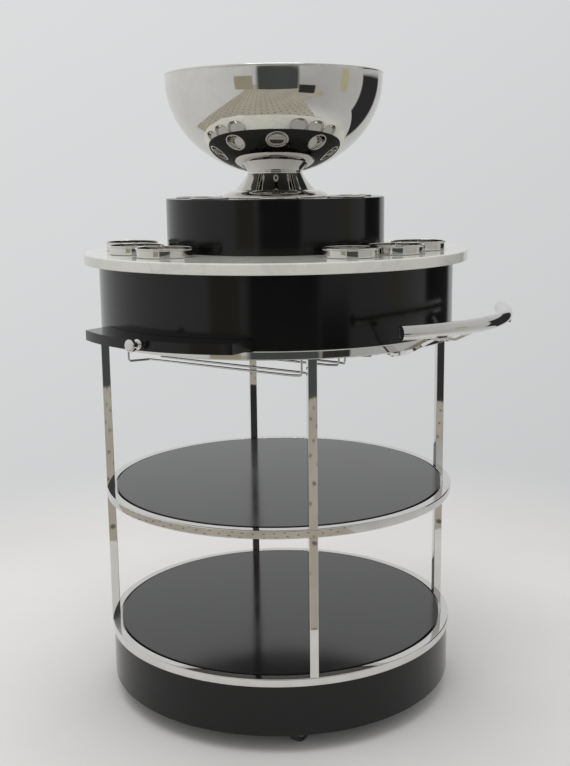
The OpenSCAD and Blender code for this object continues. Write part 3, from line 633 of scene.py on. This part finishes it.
def wire_y(rack, side):
    """Where one wire of a rack lies across the cart."""
    return (rack - MIDDLE_RACK) * RACK_PITCH + side * GAP / 2


for i in RACKS:
    bm = bmesh.new()
    for side in (-1, 1):
        y = wire_y(i, side)
        route = [(X_MOUTH - RUN, y + side * FLARE, Z_PAD), (X_MOUTH - RUN, y + side * FLARE, Z_WIRE),
                 (X_MOUTH, y, Z_WIRE), (X_END, y, Z_WIRE), (X_END + RUN, y - side * TOE, Z_WIRE),
                 (X_END + RUN, y - side * TOE, Z_PAD)]
        sweep(bm, rounded(route, WIRE_BEND, 6, False), WIRE_R, WIRE_FACETS)
    piece(f"rack_wires_{i}", bm, CHROME, "cart", [f"glass_rack_{i}"], angle=50.0)

bm = bmesh.new()
pad = rounded([(0, 0), (PAD_R, 0), (PAD_R, PAD_T), (0, PAD_T)], [0, 0.8, 0.1, 0], 3)
for i in RACKS:
    for side in (-1, 1):
        for x, dy in ((X_MOUTH - RUN, side * FLARE), (X_END + RUN, -side * TOE)):
            lathe(bm, pad, PAD_FACETS, Matrix.Translation((x, wire_y(i, side) + dy, Z_PAD)))
piece("rack_wire_pads", bm, CHROME, "cart", ["rack_pads"])


# Tray and knob
# Shut, the tray's back is at TRAY_BACK; at rest it is pulled out by PULL. Its front has the drum's curve
PULL, TRAY_BACK = 62.0, 200.0
FRONT_STEPS = 64
bm = bmesh.new()
lean = math.asin(TRAY_HALF / DRUM_R)
front = []
for k in range(FRONT_STEPS + 1):
    t = -lean + 2 * lean * k / FRONT_STEPS
    front.append((DRUM_R * math.sin(t), -DRUM_R * math.cos(t) - PULL))
prism(bm, front + [(TRAY_HALF, TRAY_BACK - PULL), (-TRAY_HALF, TRAY_BACK - PULL)], Z_TRAY, Z_TRAY + TRAY_T)
soften(bm, 1.2, 3)
# Stop pegs, set a little into the board
PEG_R, PEG_H, PEG_DOWN, PEG_SIDE, PEG_BACK = 4.0, 7.0, 1.0, 20.0, 16.0
peg = rounded([(0, -PEG_DOWN), (PEG_R, -PEG_DOWN), (PEG_R, PEG_H), (0, PEG_H)], [0, 0, 0.8, 0], 3)
for s in (-1, 1):
    spot = Vector((s * (TRAY_HALF - PEG_SIDE), TRAY_BACK - PEG_BACK - PULL, Z_TRAY + TRAY_T))
    for face in lathe(bm, peg, PEG_FACETS, Matrix.Translation(spot)):
        face.material_index = 1
piece("tray_leaf", bm, [LACQUER, ZINC], "tray", ["tray_board"])

bm = bmesh.new()
KNOB_R, KNOB_L, KNOB_DOME, KNOB_UP = 11.0, 25.0, 2.75, 11.0
KNOB_FOOT_R, KNOB_NECK_R = 9.2, 5.0
dome = []
for a in range(0, 91, 10):
    t = math.radians(a)
    dome.append((KNOB_R * math.cos(t), KNOB_L - KNOB_DOME + KNOB_DOME * math.sin(t)))
# Foot, neck and the underside of the head, as radius and height
stem = rounded([(0, 0), (KNOB_FOOT_R, 0), (KNOB_FOOT_R, 3), (KNOB_NECK_R, 5), (KNOB_NECK_R, 11.5), (7, 14),
                (KNOB_R, 16.2), dome[0]], [0, 0.3, 0.8, 3.0, 3.0, 2.0, 1.2, 0], 5, False)
lathe(bm, stem + dome[1:-1] + [(0, KNOB_L)], ROUND,
      Matrix.Translation((0, -PULL - DRUM_R, Z_TRAY + KNOB_UP)) @ QUARTER_X)
piece("tray_pull_knob", bm, CHROME, "tray", ["tray_knob"], angle=40.0)


# Casters
CASTER_R, TRAIL, WHEEL_R, HALF_W = 278.0, 25.0, 25.0, 9.0
BORE_R, HUB_R, CORE_R, TYRE_IN = 4.05, 9.0, 18.2, 20.0
# Radius, and how far out from the wheel's middle, from the bore to the core's edge
half_core = [(BORE_R, 8.6), (HUB_R, 8.6), (HUB_R + 1, 6.5), (CORE_R - 1.2, 6.5), (CORE_R, 8.0)]
half_tyre = [(CORE_R, 8.2), (TYRE_IN, HALF_W), (WHEEL_R, HALF_W)]
core_profile = rounded([(r, -z) for r, z in half_core] + half_core[::-1],
                       [0, 0.5, 1, 1, 0.4, 0.4, 1, 1, 0.5, 0], 3)
tyre_profile = rounded([(r, -z) for r, z in half_tyre] + half_tyre[::-1], [0, 0.8, 3.0, 3.0, 0.8, 0], 5)
for i, azimuth in enumerate(POST_AZ, 1):
    a = math.radians(azimuth)
    hub = Matrix.Translation((CASTER_R * math.sin(a), -CASTER_R * math.cos(a) - TRAIL, WHEEL_R)) @ QUARTER_Y
    bm = bmesh.new()
    lathe(bm, core_profile, ROUND, hub)
    for face in lathe(bm, tyre_profile, ROUND, hub):
        face.material_index = 1
    piece(f"caster_roller_{i}", bm, [ZINC, RUBBER], f"wheel_{i}",
          [f"caster_wheel_{i}"], angle=40.0)


# CAD nodes that stay
KEPT = {
    "caster_board": (BOARD, "board"), "apron_floor": (BOARD, "board"), "sub_top": (BOARD, "board"),
    "tray_guides": (ZINC, "caster_steel"), "caster_plates": (ZINC, "caster_steel"),
    "caster_screws": (ZINC, "caster_steel"), "bracket_screws": (CHROME, "chrome"),
}
for i in range(1, len(POST_AZ) + 1):
    KEPT[f"caster_fork_{i}"] = (ZINC, "caster_steel")
    KEPT[f"caster_axle_{i}"] = (ZINC, "caster_steel")
WORN_EDGE = 0.4
for name, (material, slot) in KEPT.items():
    node = NODES[name]
    node.data.materials.clear()
    node.data.materials.append(material)
    edge = node.modifiers.new("worn_edges", "BEVEL")
    edge.width = WORN_EDGE * MM
    edge.segments = 2
    edge.limit_method = "ANGLE"


# Camera, as in the photograph
# Metres and radians from here on. The cart is turned by TURN to the camera, which stands at EYE
PHOTO_H, FOCAL_PX, SENSOR = 766.0, 1078.508, 36.0
EYE = Vector((0, -2.14892, 1.03485))
YAW, PITCH, ROLL = 0.0069, 0.1897, -0.0118
TURN = math.radians(35.2)
TURNED_Z = Matrix.Rotation(TURN, 4, "Z")
forward = Vector((math.sin(YAW), math.cos(YAW), 0))
right = Vector((math.cos(YAW), -math.sin(YAW), 0))
look = forward * math.cos(PITCH) - Vector((0, 0, 1)) * math.sin(PITCH)
up = right.cross(look)
right, up = right * math.cos(ROLL) + up * math.sin(ROLL), up * math.cos(ROLL) - right * math.sin(ROLL)
axes = Matrix((right, up, -look)).transposed().to_4x4()
lens = bpy.data.cameras.new("photo_camera")
lens.sensor_width = SENSOR
lens.lens = FOCAL_PX * SENSOR / PHOTO_H
camera = bpy.data.objects.new("photo_camera", lens)
SCENE.collection.objects.link(camera)
camera.matrix_world = TURNED_Z @ Matrix.Translation(EYE) @ axes
SCENE.camera = camera


# Studio
def stage_mesh(name, verts, faces, material, seen=True):
    """A flat part of the studio, turned with the camera; seen says if the camera shows it."""
    mesh = bpy.data.meshes.new(name)
    mesh.from_pydata(verts, [], faces)
    mesh.materials.append(material)
    obj = bpy.data.objects.new(name, mesh)
    SCENE.collection.objects.link(obj)
    obj.matrix_world = TURNED_Z
    obj.visible_camera = seen
    return obj


def glow(name, colour):
    """A material that shows at its own colour, whatever the light."""
    material = bpy.data.materials.new(name)
    material.use_nodes = True
    tree = material.node_tree
    tree.nodes.clear()
    out = add(tree, "ShaderNodeOutputMaterial")
    emit = add(tree, "ShaderNodeEmission", inputs={"Color": (*colour, 1.0), "Strength": 1.0})
    tree.links.new(emit.outputs[0], out.inputs["Surface"])
    return material, tree, emit


def seen_rays(tree):
    """1 for a ray that the camera, a reflection or a clear material sends, 0 for one that gathers light."""
    path = add(tree, "ShaderNodeLightPath")
    last = path.outputs["Is Camera Ray"]
    for name in ("Is Glossy Ray", "Is Transmission Ray"):
        either = add(tree, "ShaderNodeMath", operation="MAXIMUM")
        tree.links.new(last, either.inputs[0])
        tree.links.new(path.outputs[name], either.inputs[1])
        last = either.outputs[0]
    return last


BACKDROP = (0.655, 0.66, 0.665)
# How the backdrop's level changes with direction, and its level where that is none
SLOPE = TURNED_Z.to_3x3() @ Vector((-0.156, 0.118, 0.28))
LEVEL = 0.897
FLOOR_HALF = 40.0


def backdrop_colour(tree, direction):
    """The backdrop's colour in a direction: palest behind the cart and on the left, duller overhead."""
    across = add(tree, "ShaderNodeVectorMath", operation="DOT_PRODUCT", inputs={1: SLOPE})
    tree.links.new(direction, across.inputs[0])
    level = add(tree, "ShaderNodeMath", operation="ADD", inputs={1: LEVEL})
    tree.links.new(across.outputs["Value"], level.inputs[0])
    split = add(tree, "ShaderNodeSeparateXYZ")
    tree.links.new(direction, split.inputs[0])
    overhead = add(tree, "ShaderNodeMapRange", inputs={"From Min": 0.2, "From Max": 1.0,
                                                       "To Min": 1.0, "To Max": 0.7})
    tree.links.new(split.outputs["Z"], overhead.inputs["Value"])
    both = add(tree, "ShaderNodeMath", operation="MULTIPLY")
    tree.links.new(level.outputs[0], both.inputs[0])
    tree.links.new(overhead.outputs["Result"], both.inputs[1])
    shade = add(tree, "ShaderNodeVectorMath", operation="SCALE", inputs={0: BACKDROP})
    tree.links.new(both.outputs[0], shade.inputs["Scale"])
    return shade.outputs["Vector"]


def floor_material():
    """Pale paper: it takes shadow near the cart and fades into the backdrop's colour further off."""
    material, tree, shader = node_material("studio_floor")
    at = add(tree, "ShaderNodeTexCoord").outputs["Object"]
    cloud = noise(tree, at, 1.6, 4.0, 0.55)
    tree.links.new(ramp(tree, cloud, [(0.3, (0.73, 0.715, 0.70)), (0.7, (0.78, 0.77, 0.76))]),
                   shader.inputs["Base Color"])
    shader.inputs["Roughness"].default_value = 0.6
    shader.inputs["Specular IOR Level"].default_value = 0.1
    far = add(tree, "ShaderNodeVectorMath", operation="LENGTH")
    tree.links.new(at, far.inputs[0])
    fade = add(tree, "ShaderNodeMapRange", interpolation_type="SMOOTHSTEP",
               inputs={"From Min": 0.7, "From Max": 1.9})
    tree.links.new(far.outputs["Value"], fade.inputs["Value"])
    both = add(tree, "ShaderNodeMath", operation="MULTIPLY")
    tree.links.new(fade.outputs["Result"], both.inputs[0])
    tree.links.new(seen_rays(tree), both.inputs[1])
    sight = add(tree, "ShaderNodeVectorMath", operation="SUBTRACT", inputs={1: EYE})
    tree.links.new(at, sight.inputs[0])
    turn = add(tree, "ShaderNodeVectorRotate", rotation_type="Z_AXIS", inputs={"Angle": TURN})
    tree.links.new(sight.outputs["Vector"], turn.inputs["Vector"])
    unit = add(tree, "ShaderNodeVectorMath", operation="NORMALIZE")
    tree.links.new(turn.outputs["Vector"], unit.inputs[0])
    emit = add(tree, "ShaderNodeEmission", inputs={"Strength": 1.0})
    tree.links.new(backdrop_colour(tree, unit.outputs["Vector"]), emit.inputs["Color"])
    mix = add(tree, "ShaderNodeMixShader")
    tree.links.new(both.outputs[0], mix.inputs["Fac"])
    tree.links.new(shader.outputs[0], mix.inputs[1])
    tree.links.new(emit.outputs[0], mix.inputs[2])
    tree.links.new(mix.outputs[0], tree.nodes["Material Output"].inputs["Surface"])
    return material


corners = [(x * FLOOR_HALF, y * FLOOR_HALF, 0) for x, y in ((-1, -1), (1, -1), (1, 1), (-1, 1))]
stage_mesh("studio_floor", corners, [(0, 1, 2, 3)], floor_material())

world = bpy.data.worlds.new("studio")
world.use_nodes = True
SCENE.world = world
tree = world.node_tree
tree.nodes.clear()
out = add(tree, "ShaderNodeOutputWorld")
SKY_LIGHT = 0.78
lit = add(tree, "ShaderNodeBackground", inputs={"Color": (1.0, 1.0, 1.0, 1.0), "Strength": SKY_LIGHT})
shown = add(tree, "ShaderNodeBackground", inputs={"Strength": 1.0})
sky = add(tree, "ShaderNodeTexCoord").outputs["Generated"]
tree.links.new(backdrop_colour(tree, sky), shown.inputs["Color"])
choose = add(tree, "ShaderNodeMixShader")
tree.links.new(seen_rays(tree), choose.inputs["Fac"])
tree.links.new(lit.outputs[0], choose.inputs[1])
tree.links.new(shown.outputs[0], choose.inputs[2])
tree.links.new(choose.outputs[0], out.inputs["Surface"])


def card(name, points, colour, pattern):
    """A studio card that only reflections see: it neither shows to the camera nor lights the object."""
    material, tree, emit = glow(name, colour)
    pattern(tree, emit)
    obj = stage_mesh(name, points, [tuple(range(len(points)))], material, False)
    obj.visible_diffuse = obj.visible_shadow = obj.visible_transmission = False


def upright(left, right, low, high):
    """The corners of a card that stands between two places of the floor."""
    return [(*left, low), (*right, low), (*right, high), (*left, high)]


def soft_edges(tree, emit):
    """Lets the card fade out toward its sides and its top."""
    at = add(tree, "ShaderNodeTexCoord").outputs["Generated"]
    split = add(tree, "ShaderNodeSeparateXYZ")
    tree.links.new(at, split.inputs[0])
    off = add(tree, "ShaderNodeMath", operation="SUBTRACT", inputs={1: 0.5})
    tree.links.new(split.outputs["X"], off.inputs[0])
    side = add(tree, "ShaderNodeMath", operation="ABSOLUTE")
    tree.links.new(off.outputs[0], side.inputs[0])
    across = ramp(tree, side.outputs[0], [(0.42, 1.0), (0.5, 0.0)])
    upward = ramp(tree, split.outputs["Z"], [(0.93, 1.0), (1.0, 0.0)])
    both = mixed(tree, across, upward, 1.0, "MULTIPLY")
    clear = add(tree, "ShaderNodeBsdfTransparent")
    mix = add(tree, "ShaderNodeMixShader")
    tree.links.new(both, mix.inputs["Fac"])
    tree.links.new(clear.outputs[0], mix.inputs[1])
    tree.links.new(emit.outputs[0], mix.inputs[2])
    out = next(node for node in tree.nodes if node.type == "OUTPUT_MATERIAL")
    tree.links.new(mix.outputs[0], out.inputs["Surface"])


def tiles(tree, emit):
    """Small pale tiles with dark insets where four corners meet."""
    at = add(tree, "ShaderNodeTexCoord").outputs["Object"]
    turn = add(tree, "ShaderNodeMapping",
               inputs={"Rotation": (0, 0, math.radians(12)), "Scale": (5.9, 5.9, 5.9)})
    tree.links.new(at, turn.inputs["Vector"])
    cell = add(tree, "ShaderNodeVectorMath", operation="FRACTION")
    tree.links.new(turn.outputs["Vector"], cell.inputs[0])
    middle = add(tree, "ShaderNodeVectorMath", operation="DISTANCE", inputs={1: (0.5, 0.5, 0.0)})
    tree.links.new(cell.outputs["Vector"], middle.inputs[0])
    inset = ramp(tree, middle.outputs["Value"], [(0.11, 0.9), (0.15, 0.0)])
    shade = noise(tree, at, 1.3, 3.0, 0.5)
    body = ramp(tree, shade, [(0.3, (0.40, 0.37, 0.31)), (0.7, (0.47, 0.44, 0.38))])
    tree.links.new(mixed(tree, body, (0.10, 0.09, 0.08), inset), emit.inputs["Color"])


# The edge of the tiled floor that the steel mirrors, as places round the cart
TILE_EDGE = [(-1.72, 1.04), (-1.35, 0.70), (-1.37, 0.33), (-1.24, -0.38), (-0.88, -0.80), (-0.30, -1.0),
             (0.25, -0.85), (0.96, -0.65), (1.07, -1.68), (2.37, -1.60), (3.11, -2.94), (3.0, -4.6),
             (-1.95, -4.6), (-1.88, -3.86), (-1.66, -2.12), (-1.66, -0.86), (-1.68, -0.14)]
card("tile_card", [(x, y, 0.002) for x, y in TILE_EDGE], (0.42, 0.385, 0.32), tiles)
card("dark_flag_front", upright((-1.1, -3.3), (1.65, -3.3), 0, 1.62), (0.068, 0.073, 0.073), soft_edges)
card("dark_flag_side", upright((2.35, 0.42), (1.2, 1.24), 0, 1.38), (0.03, 0.03, 0.032), soft_edges)
card("dark_box_right", upright((1.2, -2.6), (2.0, -2.1), 0, 0.55), (0.035, 0.035, 0.035), soft_edges)
card("pale_box_left", upright((-2.5, -2.9), (-1.2, -3.25), 0, 1.1), (0.33, 0.31, 0.23), soft_edges)
card("straw_card_right", upright((2.2, -0.8), (2.35, -0.4), 0.55, 1.45), (0.46, 0.43, 0.29), soft_edges)


def softbox(name, place, aim, size, power, glossy=False):
    """An area lamp; only a glossy one shows in reflections."""
    data = bpy.data.lights.new(name, "AREA")
    data.shape = "RECTANGLE"
    data.size, data.size_y = size
    data.energy = power
    obj = bpy.data.objects.new(name, data)
    SCENE.collection.objects.link(obj)
    facing = (Vector(aim) - Vector(place)).to_track_quat("-Z", "Y").to_matrix().to_4x4()
    obj.matrix_world = TURNED_Z @ Matrix.Translation(place) @ facing
    obj.visible_glossy = glossy


softbox("top_softbox", (-0.5, -0.7, 3.2), (0, 0, 0.6), (2.4, 2.4), 30.0)
softbox("ceiling_lamp", (0, 0.95, 2.8), (0, 0.3, 0.8), (0.6, 0.6), 8.0, True)
